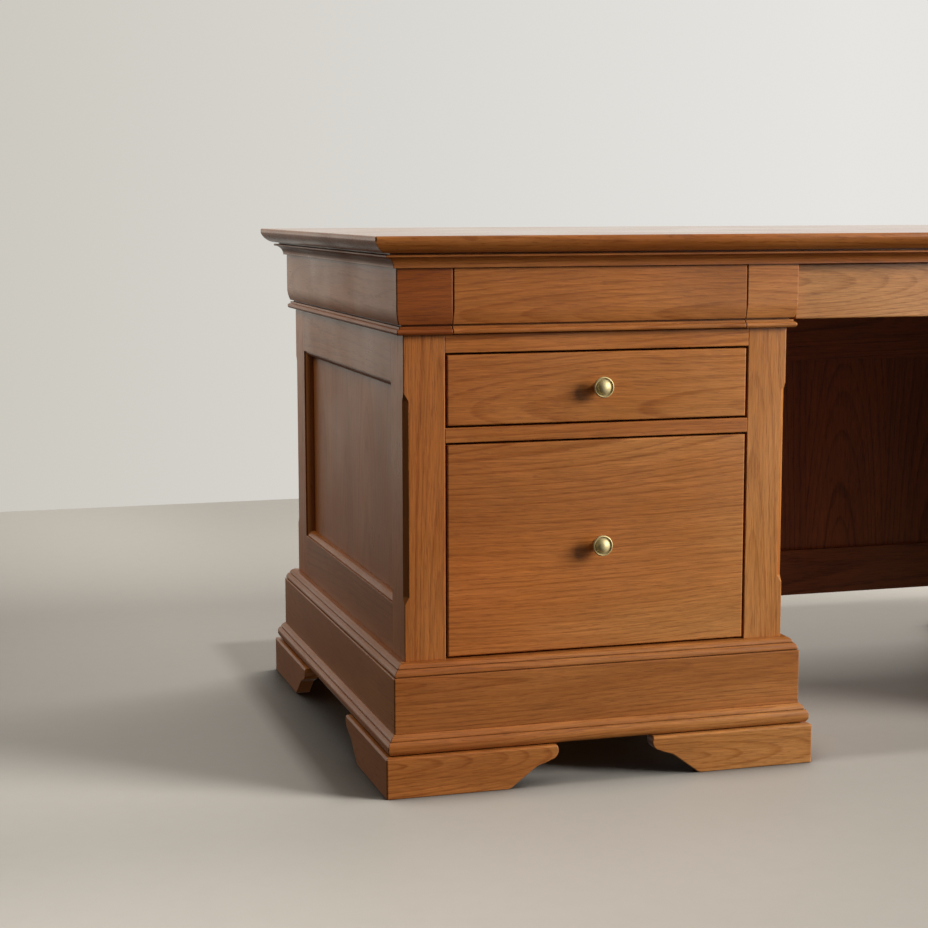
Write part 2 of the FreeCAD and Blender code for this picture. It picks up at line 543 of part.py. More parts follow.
for place in ("left", "right"):
    off = 0.0 if place == "left" else XL + XI      # the right pedestal's drawers are the left's, moved along X
    o0, o1 = OPEN0 + off, OPEN1 + off
    xm = (o0 + o1) / 2
    for kind, z0, z1, top in (("upper", Z_MID_RAIL, Z_UP_OPEN, 606.0), ("lower", Z_BODY, Z_LOW_OPEN, 472.0)):
        front = flat_front(o0 + GAP, o1 - GAP, z0 + GAP, z1 - GAP)
        front, parts = drawer_box(front, o0 + GAP, o1 - GAP, -YF + 20, z0 + 1.0, top, 8.0)
        put((place, kind), front, parts, knob(xm, (z0 + z1) / 2))
    f0, f1 = OUT_CUT + off, IN_CUT + off
    prof = run(FRIEZE, "front", 0, 0, -YF, 0, f0 + FGAP, f1 - FGAP)
    keep = box(f0, -YF - 20, 645.2, f1, -YF + 10, 735.2)
    front = one(prof.common(keep))
    front = front.cut(easing(f0 + FGAP, 1, 640, 740)).cut(easing(f1 - FGAP, -1, 640, 740))
    front, parts = drawer_box(one(front), f0 + FGAP, f1 - FGAP, -YF + 10, 657.0, 728.0, 5.0)
    put((place, "frieze"), front, parts)

# The centre drawer serves one side; its twin on the back is the same, turned.
front = flat_front(-XI + 12 + FGAP, XI - 12 - FGAP, 655.4, 735.2)
front, parts = drawer_box(front, -XI + 12 + FGAP, XI - 12 - FGAP, -YF + 20, 670.0, 728.0, 4.0)
put(("centre", ""), front, parts)

# Stop blocks behind each drawer's back, so that its front closes flush.
stops = []
for sign in (-1, 1):
    for off in (0.0, XL + XI):
        o0, o1 = OPEN0 + off, OPEN1 + off
        for z0, z1 in ((545.0, 575.0), (320.0, 350.0)):
            for x in (o0 + 70, o1 - 70):
                stops.append(box(x - 15, sign * 6, z0, x + 15, sign * (DRAWER_BACK - 0.5), z1))
        for x in (OUT_CUT + off + 60, IN_CUT + off - 60):
            stops.append(box(x - 15, sign * 10, 680, x + 15, sign * (DRAWER_BACK - 0.5), 700))
    for x in (-200, 200):
        stops.append(box(x - 15, sign * 10, 685, x + 15, sign * (DRAWER_BACK - 0.5), 705))
save("drawer_stops", stops)
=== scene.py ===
import bpy
import math
from mathutils import Matrix, Vector


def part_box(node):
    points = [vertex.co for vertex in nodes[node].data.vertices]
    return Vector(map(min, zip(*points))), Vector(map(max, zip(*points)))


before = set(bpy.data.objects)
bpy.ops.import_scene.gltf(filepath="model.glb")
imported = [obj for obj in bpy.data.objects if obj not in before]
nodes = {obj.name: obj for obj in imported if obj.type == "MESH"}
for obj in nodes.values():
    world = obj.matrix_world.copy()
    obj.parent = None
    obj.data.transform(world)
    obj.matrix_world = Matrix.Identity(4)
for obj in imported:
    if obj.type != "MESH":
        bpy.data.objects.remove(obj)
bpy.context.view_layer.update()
scene = bpy.context.scene


# ---------------------------------------------------------------- node building
class Tree:
    """Short calls for shader nodes; every input may be a number or a socket."""

    def __init__(self, tree):
        self.t = tree
        self.cache = {}

    def node(self, kind, **props):
        n = self.t.nodes.new(kind)
        for k, v in props.items():
            setattr(n, k, v)
        return n

    def put(self, socket, value):
        if isinstance(value, bpy.types.NodeSocket):
            self.t.links.new(value, socket)
        elif value is not None:
            socket.default_value = value

    def m(self, op, a, b=None, c=None, clamp=False):
        n = self.node("ShaderNodeMath", operation=op, use_clamp=clamp)
        for s, v in zip(n.inputs, (a, b, c)):
            self.put(s, v)
        return n.outputs[0]

    def add(self, *v):
        s = v[0]
        for x in v[1:]:
            s = self.m("ADD", s, x)
        return s

    def mul(self, *v):
        s = v[0]
        for x in v[1:]:
            s = self.m("MULTIPLY", s, x)
        return s

    def sub(self, a, b):
        return self.m("SUBTRACT", a, b)

    def gt(self, a, b):
        return self.m("GREATER_THAN", a, b)

    def mad(self, a, b, c):
        return self.m("MULTIPLY_ADD", a, b, c)

    def xyz(self, x, y, z):
        n = self.node("ShaderNodeCombineXYZ")
        for s, v in zip(n.inputs, (x, y, z)):
            self.put(s, v)
        return n.outputs[0]

    def split(self, v):
        n = self.node("ShaderNodeSeparateXYZ")
        self.put(n.inputs[0], v)
        return n.outputs[0], n.outputs[1], n.outputs[2]

    def v(self, op, a, b=None, scale=None):
        n = self.node("ShaderNodeVectorMath", operation=op)
        self.put(n.inputs[0], a)
        if b is not None:
            self.put(n.inputs[1], b)
        if scale is not None:
            self.put(n.inputs["Scale"], scale)
        return n.outputs["Value"] if op in ("DOT_PRODUCT", "LENGTH", "DISTANCE") else n.outputs[0]

    def stretch(self, p, s, shift=None):
        """p times the three numbers in s, plus a shift."""
        n = self.node("ShaderNodeVectorMath", operation="MULTIPLY_ADD" if shift is not None else "MULTIPLY")
        self.put(n.inputs[0], p)
        n.inputs[1].default_value = s
        if shift is not None:
            self.put(n.inputs[2], shift)
        return n.outputs[0]

    def noise(self, p, scale=1.0, detail=2.0, rough=0.5, lac=2.0, dist=0.0):
        n = self.node("ShaderNodeTexNoise", noise_dimensions="3D")
        self.put(n.inputs["Vector"], p)
        self.put(n.inputs["Scale"], scale)
        n.inputs["Detail"].default_value = detail
        n.inputs["Roughness"].default_value = rough
        n.inputs["Lacunarity"].default_value = lac
        n.inputs["Distortion"].default_value = dist
        return n.outputs[0]

    def rng(self, x, a, b, c=0.0, d=1.0, smooth=True):
        n = self.node("ShaderNodeMapRange", interpolation_type="SMOOTHSTEP" if smooth else "LINEAR")
        n.clamp = True
        for s, val in zip(n.inputs[:5], (x, a, b, c, d)):
            self.put(s, val)
        return n.outputs[0]

    def mixf(self, f, a, b):
        n = self.node("ShaderNodeMix", data_type="FLOAT")
        self.put(n.inputs[0], f)
        self.put(n.inputs[2], a)
        self.put(n.inputs[3], b)
        return n.outputs[0]

    def mixc(self, f, a, b, blend="MIX"):
        n = self.node("ShaderNodeMix", data_type="RGBA", blend_type=blend)
        self.put(n.inputs[0], f)
        for s, val in ((n.inputs[6], a), (n.inputs[7], b)):
            self.put(s, (*val, 1.0) if isinstance(val, tuple) and len(val) == 3 else val)
        return n.outputs[2]

    def ramp(self, f, stops):
        n = self.node("ShaderNodeValToRGB")
        el = n.color_ramp.elements
        while len(el) < len(stops):
            el.new(0.5)
        for e, (p, c) in zip(el, stops):
            e.position = p
            e.color = (*c, 1.0)
        self.put(n.inputs[0], f)
        return n.outputs[0]


# ---------------------------------------------------------------- wood
def wood_group():
    """Growth rings, fibres and pores of one board. P is the place in the board in metres, as along, across and through it."""
    g = bpy.data.node_groups.new("wood_figure", "ShaderNodeTree")
    io = g.interface
    io.new_socket("P", in_out="INPUT", socket_type="NodeSocketVector")
    io.new_socket("R", in_out="INPUT", socket_type="NodeSocketVector")
    for name, val in (("Spacing", 0.006), ("Tilt", 0.05), ("Pith", 0.06), ("Spread", 0.12)):
        s = io.new_socket(name, in_out="INPUT", socket_type="NodeSocketFloat")
        s.default_value = val
    for name in ("Ring", "Fibre", "Pore", "Tone", "Hue"):
        io.new_socket(name, in_out="OUTPUT", socket_type="NodeSocketFloat")
    t = Tree(g)
    gi = t.node("NodeGroupInput").outputs
    go = t.node("NodeGroupOutput").inputs
    p, r = gi["P"], gi["R"]
    rx, ry, rz = t.split(r)
    shift = t.v("SCALE", r, scale=41.0)
    shift2 = t.v("SCALE", r, scale=-67.0)
    # slow waves of the grain, then smaller ones
    low = t.noise(t.stretch(p, (1.3, 4.5, 4.5), shift), detail=1.5)
    low2 = t.noise(t.stretch(p, (1.7, 5.0, 5.0), shift2), detail=1.5)
    mid = t.noise(t.stretch(p, (5.0, 20.0, 20.0), shift), detail=2.5)
    fine = t.noise(t.stretch(p, (22.0, 90.0, 90.0), shift2), detail=2.0)
    a, b, c = t.split(p)
    across = t.add(
        t.mad(t.sub(rx, 0.5), gi["Spread"], b),
        t.mul(t.sub(low, 0.5), 0.046),
        t.mul(t.sub(mid, 0.5), 0.0055),
        t.mul(t.sub(fine, 0.5), 0.0012),
    )
    lean = t.mul(gi["Tilt"], t.rng(rz, 0.0, 1.0, 0.55, 1.45, smooth=False))
    through = t.add(
        c,
        t.mul(gi["Pith"], t.add(ry, 0.6)),
        t.mul(lean, a),
        t.mul(t.sub(low2, 0.5), 0.028),
        t.mul(t.sub(mid, 0.5), 0.0035),
    )
    rad = t.m("SQRT", t.add(t.mul(across, across), t.mul(through, through)))
    # unequal years
    years = t.noise(t.xyz(t.mul(rad, 55.0), t.mul(rx, 9.0), t.mul(rz, 5.0)), detail=1.0)
    turn = t.add(t.m("DIVIDE", rad, gi["Spacing"]), t.mul(years, 1.7))
    f = t.m("FRACT", turn)
    late = t.add(
        t.mul(t.rng(f, 0.58, 0.88), t.rng(f, 0.90, 1.0, 0.84, 0.0)),
        t.mul(t.rng(f, 0.05, 0.90), t.rng(f, 0.90, 1.0, 0.16, 0.0)),
    )
    strength = t.rng(years, 0.30, 0.70, 0.45, 1.0)
    patch = t.rng(mid, 0.30, 0.58, 0.45, 1.0)
    # fibres lie along the waves of the grain
    q = t.xyz(a, across, t.mul(through, 0.30))
    broken = t.noise(t.stretch(q, (16.0, 330.0, 330.0), shift2), detail=2.0, rough=0.6)
    t.put(go["Ring"], t.mul(late, strength, patch, t.rng(broken, 0.34, 0.62, 0.62, 1.0)))
    f0 = t.noise(t.stretch(q, (2.0, 120.0, 120.0), shift2), detail=2.0, rough=0.60)
    f1 = t.noise(t.stretch(q, (15.0, 420.0, 420.0), shift), detail=2.0, rough=0.60)
    f2 = t.noise(t.stretch(q, (36.0, 1150.0, 1150.0), shift2), detail=2.0, rough=0.60)
    t.put(go["Fibre"], t.add(t.mul(f0, 0.16), t.mul(f1, 0.46), t.mul(f2, 0.38)))
    # open pores, close together just after each dark ring
    dash = t.noise(t.stretch(q, (42.0, 640.0, 640.0), shift), detail=2.0, rough=0.6)
    early = t.mul(t.rng(f, 0.55, 0.95, 0.0, 0.10), t.rng(f, 0.95, 1.0, 1.0, 0.4))
    t.put(go["Pore"], t.rng(t.add(dash, early), 0.55, 0.70))
    t.put(go["Tone"], t.noise(t.stretch(p, (2.4, 11.0, 11.0), shift2), detail=2.0))
    t.put(go["Hue"], low2)
    return g


FIGURE = wood_group()


def steps(t, axis, values):
    """(index, centre) of the board at a place on one axis, from the boards' centres in order."""
    values = sorted(values)
    cuts = [(p + q) / 2 for p, q in zip(values, values[1:])]
    index, centre = 0.0, values[0]
    for cut, p, q in zip(cuts, values, values[1:]):
        over = t.gt(axis, cut)
        index = over if index == 0.0 else t.add(index, over)
        centre = t.mad(over, q - p, centre)
    return index, centre


def board_lay(along, across, through, xs=(0.0,), ys=(0.0,), zs=(0.0,)):
    """Boards on a grid, all with the same grain direction."""

    def lay(t, x, y, z, n):
        at = {}
        key = 0.0
        for name, axis, values, weight in (("X", x, xs, 1.0), ("Y", y, ys, 9.0), ("Z", z, zs, 81.0)):
            i, c = steps(t, axis, values)
            at[name] = t.sub(axis, c)
            if i != 0.0:
                key = t.mad(i, weight, key)
        return at[along], at[across], at[through], key

    return lay


def turned_lay(turned, first, second):
    """The second lay where turned(...) is 1, the first elsewhere."""

    def lay(t, x, y, z, n):
        k = turned(t, x, y, z, n)
        p, q = first(t, x, y, z, n), second(t, x, y, z, n)
        out = [t.mixf(k, i, j) for i, j in zip(p[:3], q[:3])]
        return (*out, t.mixf(k, p[3], t.add(q[3], 401.0)))

    return lay


def faces_sideways(t, x, y, z, n):
    nx, ny, nz = t.split(n)
    return t.gt(t.m("ABSOLUTE", nx), t.m("ABSOLUTE", ny))


def ring_lay(side_xs, front_xs, ys, zs):
    """Mitred lengths round a rectangle: grain along X at front and back, along Y at the sides."""
    return turned_lay(
        faces_sideways,
        board_lay("X", "Z", "Y", front_xs, ys, zs),
        board_lay("Y", "Z", "X", side_xs, (0.0,), zs),
    )


SHOW = dict(
    light=(0.470, 0.169, 0.0405),
    mid=(0.360, 0.114, 0.0222),
    dark=(0.239, 0.057, 0.0043),
    pore=(0.201, 0.0455, 0.0043),
    red=(0.354, 0.096, 0.0182),
)
# SHADED: a darker copy of the show wood for the modesty frame and panel in the kneehole, painted shade
SHADED = dict(
    light=(0.270, 0.086, 0.021),
    mid=(0.195, 0.058, 0.012),
    dark=(0.085, 0.023, 0.005),
    pore=(0.062, 0.017, 0.004),
    red=(0.190, 0.050, 0.010),
)
BOXES = dict(
    light=(0.66, 0.47, 0.27),
    mid=(0.56, 0.37, 0.195),
    dark=(0.40, 0.235, 0.110),
    pore=(0.30, 0.165, 0.075),
    red=(0.56, 0.34, 0.17),
)
PLAIN = dict(
    light=(0.50, 0.31, 0.155),
    mid=(0.41, 0.235, 0.108),
    dark=(0.275, 0.140, 0.058),
    pore=(0.19, 0.090, 0.036),
    red=(0.40, 0.205, 0.088),
)


def wood(name, lay, colours=SHOW, seed=0.0, spacing=0.0085, tilt=0.05, pith=0.055, spread=0.14,
         ring=1.0, fibre=1.0, pore=1.0, vary=1.0, rough=0.32, ior=1.40, bump=1.0, wear_and_highlight=1.0, tone=None, tint=None, calm=0.0, polish=None, painted_haze=0.0, lift=0.0):
    m = bpy.data.materials.new(name)
    m.use_nodes = True
    m.node_tree.nodes.clear()
    t = Tree(m.node_tree)
    place = t.node("ShaderNodeTexCoord").outputs["Object"]
    geo = t.node("ShaderNodeNewGeometry")
    x, y, z = t.split(place)
    a, b, c, key = lay(t, x, y, z, geo.outputs["Normal"])
    white = t.node("ShaderNodeTexWhiteNoise", noise_dimensions="3D")
    t.put(white.inputs["Vector"], t.xyz(t.add(key, 0.37), 1.7 + seed, 3.1))
    rnd = white.outputs["Color"]
    fig = t.node("ShaderNodeGroup")
    fig.node_tree = FIGURE
    t.put(fig.inputs["P"], t.xyz(a, t.add(b, lift) if lift else b, c))
    t.put(fig.inputs["R"], rnd)
    fig.inputs["Spacing"].default_value = spacing
    fig.inputs["Tilt"].default_value = tilt
    fig.inputs["Pith"].default_value = pith
    fig.inputs["Spread"].default_value = spread
    o = fig.outputs
    r1, r2, r3 = t.split(rnd)

    # calmer boards where a ring of mouldings or boards turns to the sides
    ring_, fibre_, pore_ = o["Ring"], o["Fibre"], o["Pore"]
    if calm:
        quiet = t.mad(faces_sideways(t, x, y, z, geo.outputs["Normal"]), -calm, 1.0)
        ring_, pore_ = t.mul(ring_, quiet), t.mul(pore_, quiet)
        fibre_ = t.mad(t.sub(fibre_, 0.5), quiet, 0.5)

    # colour: light early wood, darker late wood, fibres, pores, slow changes of tone
    base = t.mixc(t.rng(o["Tone"], 0.30, 0.70), colours["mid"], colours["light"])
    base = t.mixc(t.mul(t.rng(o["Hue"], 0.38, 0.68), 0.55), base, colours["red"])
    base = t.mixc(t.mul(ring_, 0.72 * ring), base, colours["dark"])
    fib = t.rng(fibre_, 0.35, 0.65, 1.0 - 0.25 * fibre, 1.0 + 0.25 * fibre, smooth=False)
    base = t.mixc(t.mul(pore_, 0.45 * pore), base, colours["pore"])
    shade = t.rng(r3, 0.0, 1.0, 1.0 - 0.10 * vary, 1.0 + 0.08 * vary, smooth=False)
    if tone is not None:
        shade = t.mul(shade, tone(t, x, y, z))
    level = t.mul(fib, shade)

    # arrises paler, partly rubbed wear and partly a painted highlight; quirks and inner corners darker, painted shade
    # from ambient occlusion
    bev = t.node("ShaderNodeBevel", samples=4)
    bev.inputs["Radius"].default_value = 0.0016
    off = t.v("DOT_PRODUCT", bev.outputs[0], geo.outputs["Normal"])
    shade_ao = t.node("ShaderNodeAmbientOcclusion", samples=4, only_local=True)
    shade_ao.inputs["Distance"].default_value = 0.009
    open_ = shade_ao.outputs["AO"]
    rub = t.noise(t.stretch(place, (38.0, 38.0, 38.0)), detail=3.0, rough=0.65)
    rubbed_and_lit_edge = t.mul(t.rng(off, 0.985, 0.86), t.rng(open_, 0.80, 0.98), t.rng(rub, 0.30, 0.62, 0.30, 1.0))
    # painted shade: quirks and inner corners darkened where ambient occlusion finds close surfaces
    painted_crease_shade = t.rng(open_, 0.42, 0.92, 1.0, 0.0)
    level = t.mul(level, t.mad(t.mul(painted_crease_shade, 0.32), -1.0, 1.0))
    col = t.mixc(1.0, base, t.xyz(level, level, level), blend="MULTIPLY")
    if tint is not None:
        col = t.mixc(tint[0](t, x, y, z), col, tint[1], blend="MULTIPLY")
    if painted_haze:
        # painted light and haze: front and back faces paler and greyer towards the kneehole, low down most
        painted_haze_mask = t.mul(t.rng(t.m("ABSOLUTE", x), 0.86, 0.42, smooth=False), t.rng(z, 0.66, 0.05, 0.45, 1.0, smooth=False), painted_haze)
        painted_haze_mask = t.mul(painted_haze_mask, t.mad(faces_sideways(t, x, y, z, geo.outputs["Normal"]), -1.0, 1.0))
        col = t.mixc(painted_haze_mask, col, (1.25, 1.58, 1.98), blend="MULTIPLY")
    # arrises mixed toward the light colour: rubbed wear and a painted highlight
    col = t.mixc(t.mul(rubbed_and_lit_edge, 0.30 * wear_and_highlight), col, colours["light"])

    smooth = t.noise(t.stretch(place, (7.0, 7.0, 7.0)), detail=3.0)
    sheen = t.rng(smooth, 0.3, 0.7, rough - 0.05, rough + 0.06, smooth=False)
    if polish is not None:
        up = t.rng(t.split(geo.outputs["Normal"])[2], 0.90, 0.98)
        sheen = t.mixf(up, sheen, t.rng(smooth, 0.3, 0.7, polish - 0.03, polish + 0.04, smooth=False))
    rgh = t.add(
        sheen,
        t.mul(pore_, 0.09 * bump),
        t.mul(t.sub(fibre_, 0.5), 0.12 * bump),
    )
    h = t.add(
        t.mul(fibre_, 0.55),
        t.mul(ring_, -0.18),
        t.mul(pore_, -0.75),
    )
    bp = t.node("ShaderNodeBump")
    bp.inputs["Strength"].default_value = 0.20 * bump
    bp.inputs["Distance"].default_value = 0.00035
    t.put(bp.inputs["Height"], h)
    t.put(bp.inputs["Normal"], bev.outputs[0])

    s = t.node("ShaderNodeBsdfPrincipled")
    t.put(s.inputs["Base Color"], col)
    t.put(s.inputs["Roughness"], rgh)
    t.put(s.inputs["Normal"], bp.outputs[0])
    s.inputs["IOR"].default_value = ior
    out = t.node("ShaderNodeOutputMaterial")
    t.put(out.inputs["Surface"], s.outputs[0])
    return m


def wear_it(node, mat):
    o = nodes[node]
    o.data.materials.clear()
    o.data.materials.append(mat)


# ---------------------------------------------------------------- woods of the carcase
PED = (-0.652, 0.652)


def darker_inside(t, x, y, z):
    return t.rng(t.m("ABSOLUTE", x), 0.52, 0.76, 1.0, 1.08)


SIDES4 = (-0.938, -0.366, 0.366, 0.938)


def along_x(values):
    """A tone that steps from one value to the next along X, at the given places."""

    def tone(t, x, y, z):
        level = values[0][1]
        for (p, q), (_, before) in zip(values[1:], values):
            level = t.mad(t.gt(x, p), q - before, level)
        return level

    return tone


wear_it("top_panel", wood("top_wood", board_lay("X", "Y", "Z", ys=(-0.347, -0.208, -0.069, 0.069, 0.208, 0.347), zs=(0.768,)),
                          seed=1, spacing=0.0095, tilt=0.035, vary=0.8, rough=0.24, polish=0.12, ior=1.5, bump=0.15, ring=0.7, fibre=0.7))
wear_it("cornice_mouldings", wood("cornice_wood", ring_lay((-0.93, 0.93), (0.0,), (-0.36, 0.36), (0.746,)), seed=2, tilt=0.03, ring=0.7, calm=0.6))
wear_it("frieze_side_boards", wood("frieze_side_wood", board_lay("Y", "Z", "X", xs=SIDES4, zs=(0.690,)), seed=3, tilt=0.04, ring=0.6, pore=0.5, fibre=0.6, bump=0.3))
wear_it("frieze_corner_blocks", wood("frieze_block_wood", board_lay("X", "Z", "Y", xs=(-0.912, -0.392, 0.392, 0.912), ys=(-0.36, 0.36), zs=(0.690,)),
                                     seed=4, tilt=0.06, spacing=0.009, painted_haze=1.25, tint=(lambda t, x, y, z: t.mul(t.gt(-0.652, x), t.gt(0.0, y)), (0.68, 0.525, 0.39))))
for side, s in (("left", -1), ("right", 1)):
    wear_it(side + "_corner_posts", wood(side + "_post_wood", board_lay("Z", "X", "Y", xs=(s * 0.910, s * 0.394), ys=(-0.3325, 0.3325), zs=(0.415,)),
                                         seed=5 + s, tilt=0.055, spread=0.05, pith=0.04, calm=0.5, painted_haze=1.8, tone=darker_inside))


def is_muntin(t, x, y, z, n):
    return t.mul(t.gt(z, 0.2571), t.m("LESS_THAN", z, 0.5749))


wear_it("side_rails", wood("side_rail_wood", turned_lay(
    is_muntin,
    board_lay("Y", "Z", "X", xs=(-0.926, -0.378, 0.378, 0.926), zs=(0.2215, 0.6095)),
    board_lay("Z", "Y", "X", xs=(-0.926, -0.378, 0.378, 0.926), zs=(0.416,)),
), seed=8, tilt=0.03, ring=0.6, pore=0.5, fibre=0.6, bump=0.3))
wear_it("side_panels", wood("side_panel_wood", board_lay("Z", "Y", "X", xs=(-0.921, -0.383, 0.383, 0.921), ys=(-0.23, -0.08, 0.08, 0.23), zs=(0.416,)),
                            seed=9, tilt=0.06, spread=0.06, vary=0.7, ring=0.6, pore=0.5, fibre=0.6, bump=0.3))


def runs_along_y(t, x, y, z, n):
    nx, ny, nz = t.split(n)
    return t.gt(t.m("ABSOLUTE", nz), t.m("ABSOLUTE", ny))


wear_it("panel_mouldings", wood("panel_moulding_wood", turned_lay(
    runs_along_y,
    board_lay("Z", "Y", "X", xs=(-0.921, -0.383, 0.383, 0.921), ys=(-0.29, -0.05, 0.05, 0.29), zs=(0.416,)),
    board_lay("Y", "Z", "X", xs=(-0.921, -0.383, 0.383, 0.921), zs=(0.26, 0.57)),
), seed=10, tilt=0.02, ring=0.6, pore=0.5, fibre=0.6, bump=0.3))
wear_it("drawer_rails", wood("drawer_rail_wood", board_lay("X", "Z", "Y", xs=PED, ys=(-0.34, 0.34), zs=(0.503, 0.631)), seed=11, tilt=0.025, painted_haze=0.6, tone=lambda t, x, y, z: 1.10))
wear_it("plinth_boards", wood("plinth_wood", ring_lay((-0.94, -0.364, 0.364, 0.94), PED, (-0.37, 0.37), (0.130,)), seed=12, spacing=0.0072, tilt=0.08, pith=0.035, spread=0.06, calm=0.6, painted_haze=0.4, tone=lambda t, x, y, z: 1.0))
wear_it("base_mouldings", wood("base_moulding_wood", ring_lay((-0.95, -0.354, 0.354, 0.95), PED, (-0.37, 0.37), (0.074,)), seed=13, tilt=0.025, ring=0.8, calm=0.6, painted_haze=0.8))
wear_it("bracket_feet", wood("bracket_wood", turned_lay(
    faces_sideways,
    board_lay("X", "Z", "Y", xs=(-0.85, -0.45, 0.45, 0.85), ys=(-0.39, 0.39), zs=(0.03,)),
    board_lay("Y", "Z", "X", xs=(-0.96, -0.34, 0.34, 0.96), ys=(-0.28, 0.28), zs=(0.03,)),
), seed=14, spacing=0.0066, tilt=0.13, pith=0.03, spread=0.04, ring=1.1, calm=0.5, painted_haze=1.0))


def is_stile(t, x, y, z, n):
    return t.gt(t.m("ABSOLUTE", x), 0.2841)


# the modesty frame and panel wear the darker SHADED copy, painted shade for the kneehole
wear_it("modesty_frame", wood("modesty_frame_wood", turned_lay(
    is_stile,
    board_lay("X", "Z", "Y", zs=(0.206, 0.603)),
    board_lay("Z", "X", "Y", xs=(-0.324, 0.324), zs=(0.40,)),
), seed=15, tilt=0.03, colours=SHADED, rough=0.45))
wear_it("modesty_panel", wood("modesty_panel_wood", board_lay("Z", "X", "Y", xs=(-0.22, -0.075, 0.075, 0.22), zs=(0.40,)),
                              seed=16, tilt=0.09, spread=0.05, vary=0.8, colours=SHADED, rough=0.45))

# ---------------------------------------------------------------- drawers
def paler_outside(t, x, y, z):
    return t.rng(t.m("ABSOLUTE", x), 0.46, 0.62, 0.94, 1.21)


def paler_below(t, x, y, z):
    low = t.mad(t.rng(z, 0.40, 0.30), t.rng(t.m("ABSOLUTE", x), 0.48, 0.84, 0.10, 0.34), 0.98)
    return t.mul(low, t.rng(z, 0.21, 0.29, 0.93, 1.02))


FRONTS = dict(
    upper=dict(spacing=0.0068, tilt=-0.035, pith=0.05, spread=0.10, painted_haze=1.15, ring=0.85, tone=lambda t, x, y, z: 0.975),
    lower=dict(spacing=0.0080, tilt=0.070, pith=0.065, spread=0.04, lift=-0.20, painted_haze=1.25, tone=paler_below),
    frieze=dict(spacing=0.0058, tilt=-0.11, pith=0.055, spread=0.03, lift=0.055, ring=1.1, painted_haze=0.6, tone=paler_outside),
    # centre drawer: the tint covers the faces above 0.60-0.64 m, paler and greyer, a painted haze of reflected light
    centre=dict(spacing=0.0060, tilt=0.10, pith=0.055, spread=0.03, tint=(lambda t, x, y, z: t.rng(z, 0.60, 0.64), (1.13, 1.52, 2.15))),
)
stems = []
for fb in ("front", "back"):
    for lr in ("left", "right"):
        for kind in ("upper", "lower", "frieze"):
            stems.append((fb + "_" + lr + "_" + kind, kind))
    stems.append((fb + "_centre", "centre"))
for i, (stem, kind) in enumerate(stems):
    lo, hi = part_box(stem + "_drawer_front")
    mid = (lo + hi) / 2
    wear_it(stem + "_drawer_front", wood(stem + "_front_wood", board_lay("X", "Z", "Y", (mid.x,), (mid.y,), (mid.z,)), seed=20 + i, **FRONTS[kind]))
    lo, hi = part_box(stem + "_drawer_box")
    mid = (lo + hi) / 2
    half = (hi.x - lo.x) / 2 - 0.0121
    inner = abs(hi.y) if abs(hi.y) > abs(lo.y) else abs(lo.y)

    def on_side(t, x, y, z, n, mid=mid, half=half):
        return t.gt(t.m("ABSOLUTE", t.sub(x, mid.x)), half)

    wear_it(stem + "_drawer_box", wood(
        stem + "_box_wood",
        turned_lay(on_side,
                   board_lay("X", "Y", "Z", (mid.x,), (mid.y,), (lo.z, mid.z + 0.02)),
                   board_lay("Y", "Z", "X", (lo.x, hi.x), (mid.y,), (mid.z,))),
        colours=BOXES, seed=60 + i, spacing=0.0055, tilt=0.03, ring=0.7, pore=0.35, fibre=0.7, vary=0.8, rough=0.50, ior=1.4, wear_and_highlight=0.5))

# ---------------------------------------------------------------- hidden framing
for i, (node, lay) in enumerate((
    ("frieze_drawer_runners", board_lay("Y", "Z", "X", xs=(-0.9, -0.4, 0.4, 0.9), ys=(-0.2, 0.2), zs=(0.66,))),
    ("pedestal_drawer_runners", board_lay("Y", "Z", "X", xs=(-0.9, -0.4, 0.4, 0.9), ys=(-0.2, 0.2), zs=(0.20, 0.51))),
    ("pedestal_dividers", board_lay("Z", "X", "Y", xs=(-0.78, -0.65, -0.52, 0.52, 0.65, 0.78), zs=(0.4,))),
    ("pedestal_boards", board_lay("X", "Y", "Z", xs=PED, ys=(-0.26, -0.13, 0.0, 0.13, 0.26), zs=(0.177, 0.635))),
    ("foot_blocks", board_lay("Z", "X", "Y", xs=(-0.95, -0.35, 0.35, 0.95), ys=(-0.35, 0.35), zs=(0.03,))),
    ("top_frame_rails", board_lay("Y", "X", "Z", xs=(-0.9, -0.37, 0.37, 0.9), zs=(0.69, 0.746))),
    ("drawer_stops", board_lay("X", "Z", "Y", xs=(-0.8, -0.5, -0.2, 0.2, 0.5, 0.8), ys=(-0.013, 0.013), zs=(0.33, 0.56, 0.69))),
)):
    wear_it(node, wood(node + "_wood", lay, colours=PLAIN, seed=90 + i, ring=0.8, pore=0.6, rough=0.58, ior=1.4, wear_and_highlight=0.4))


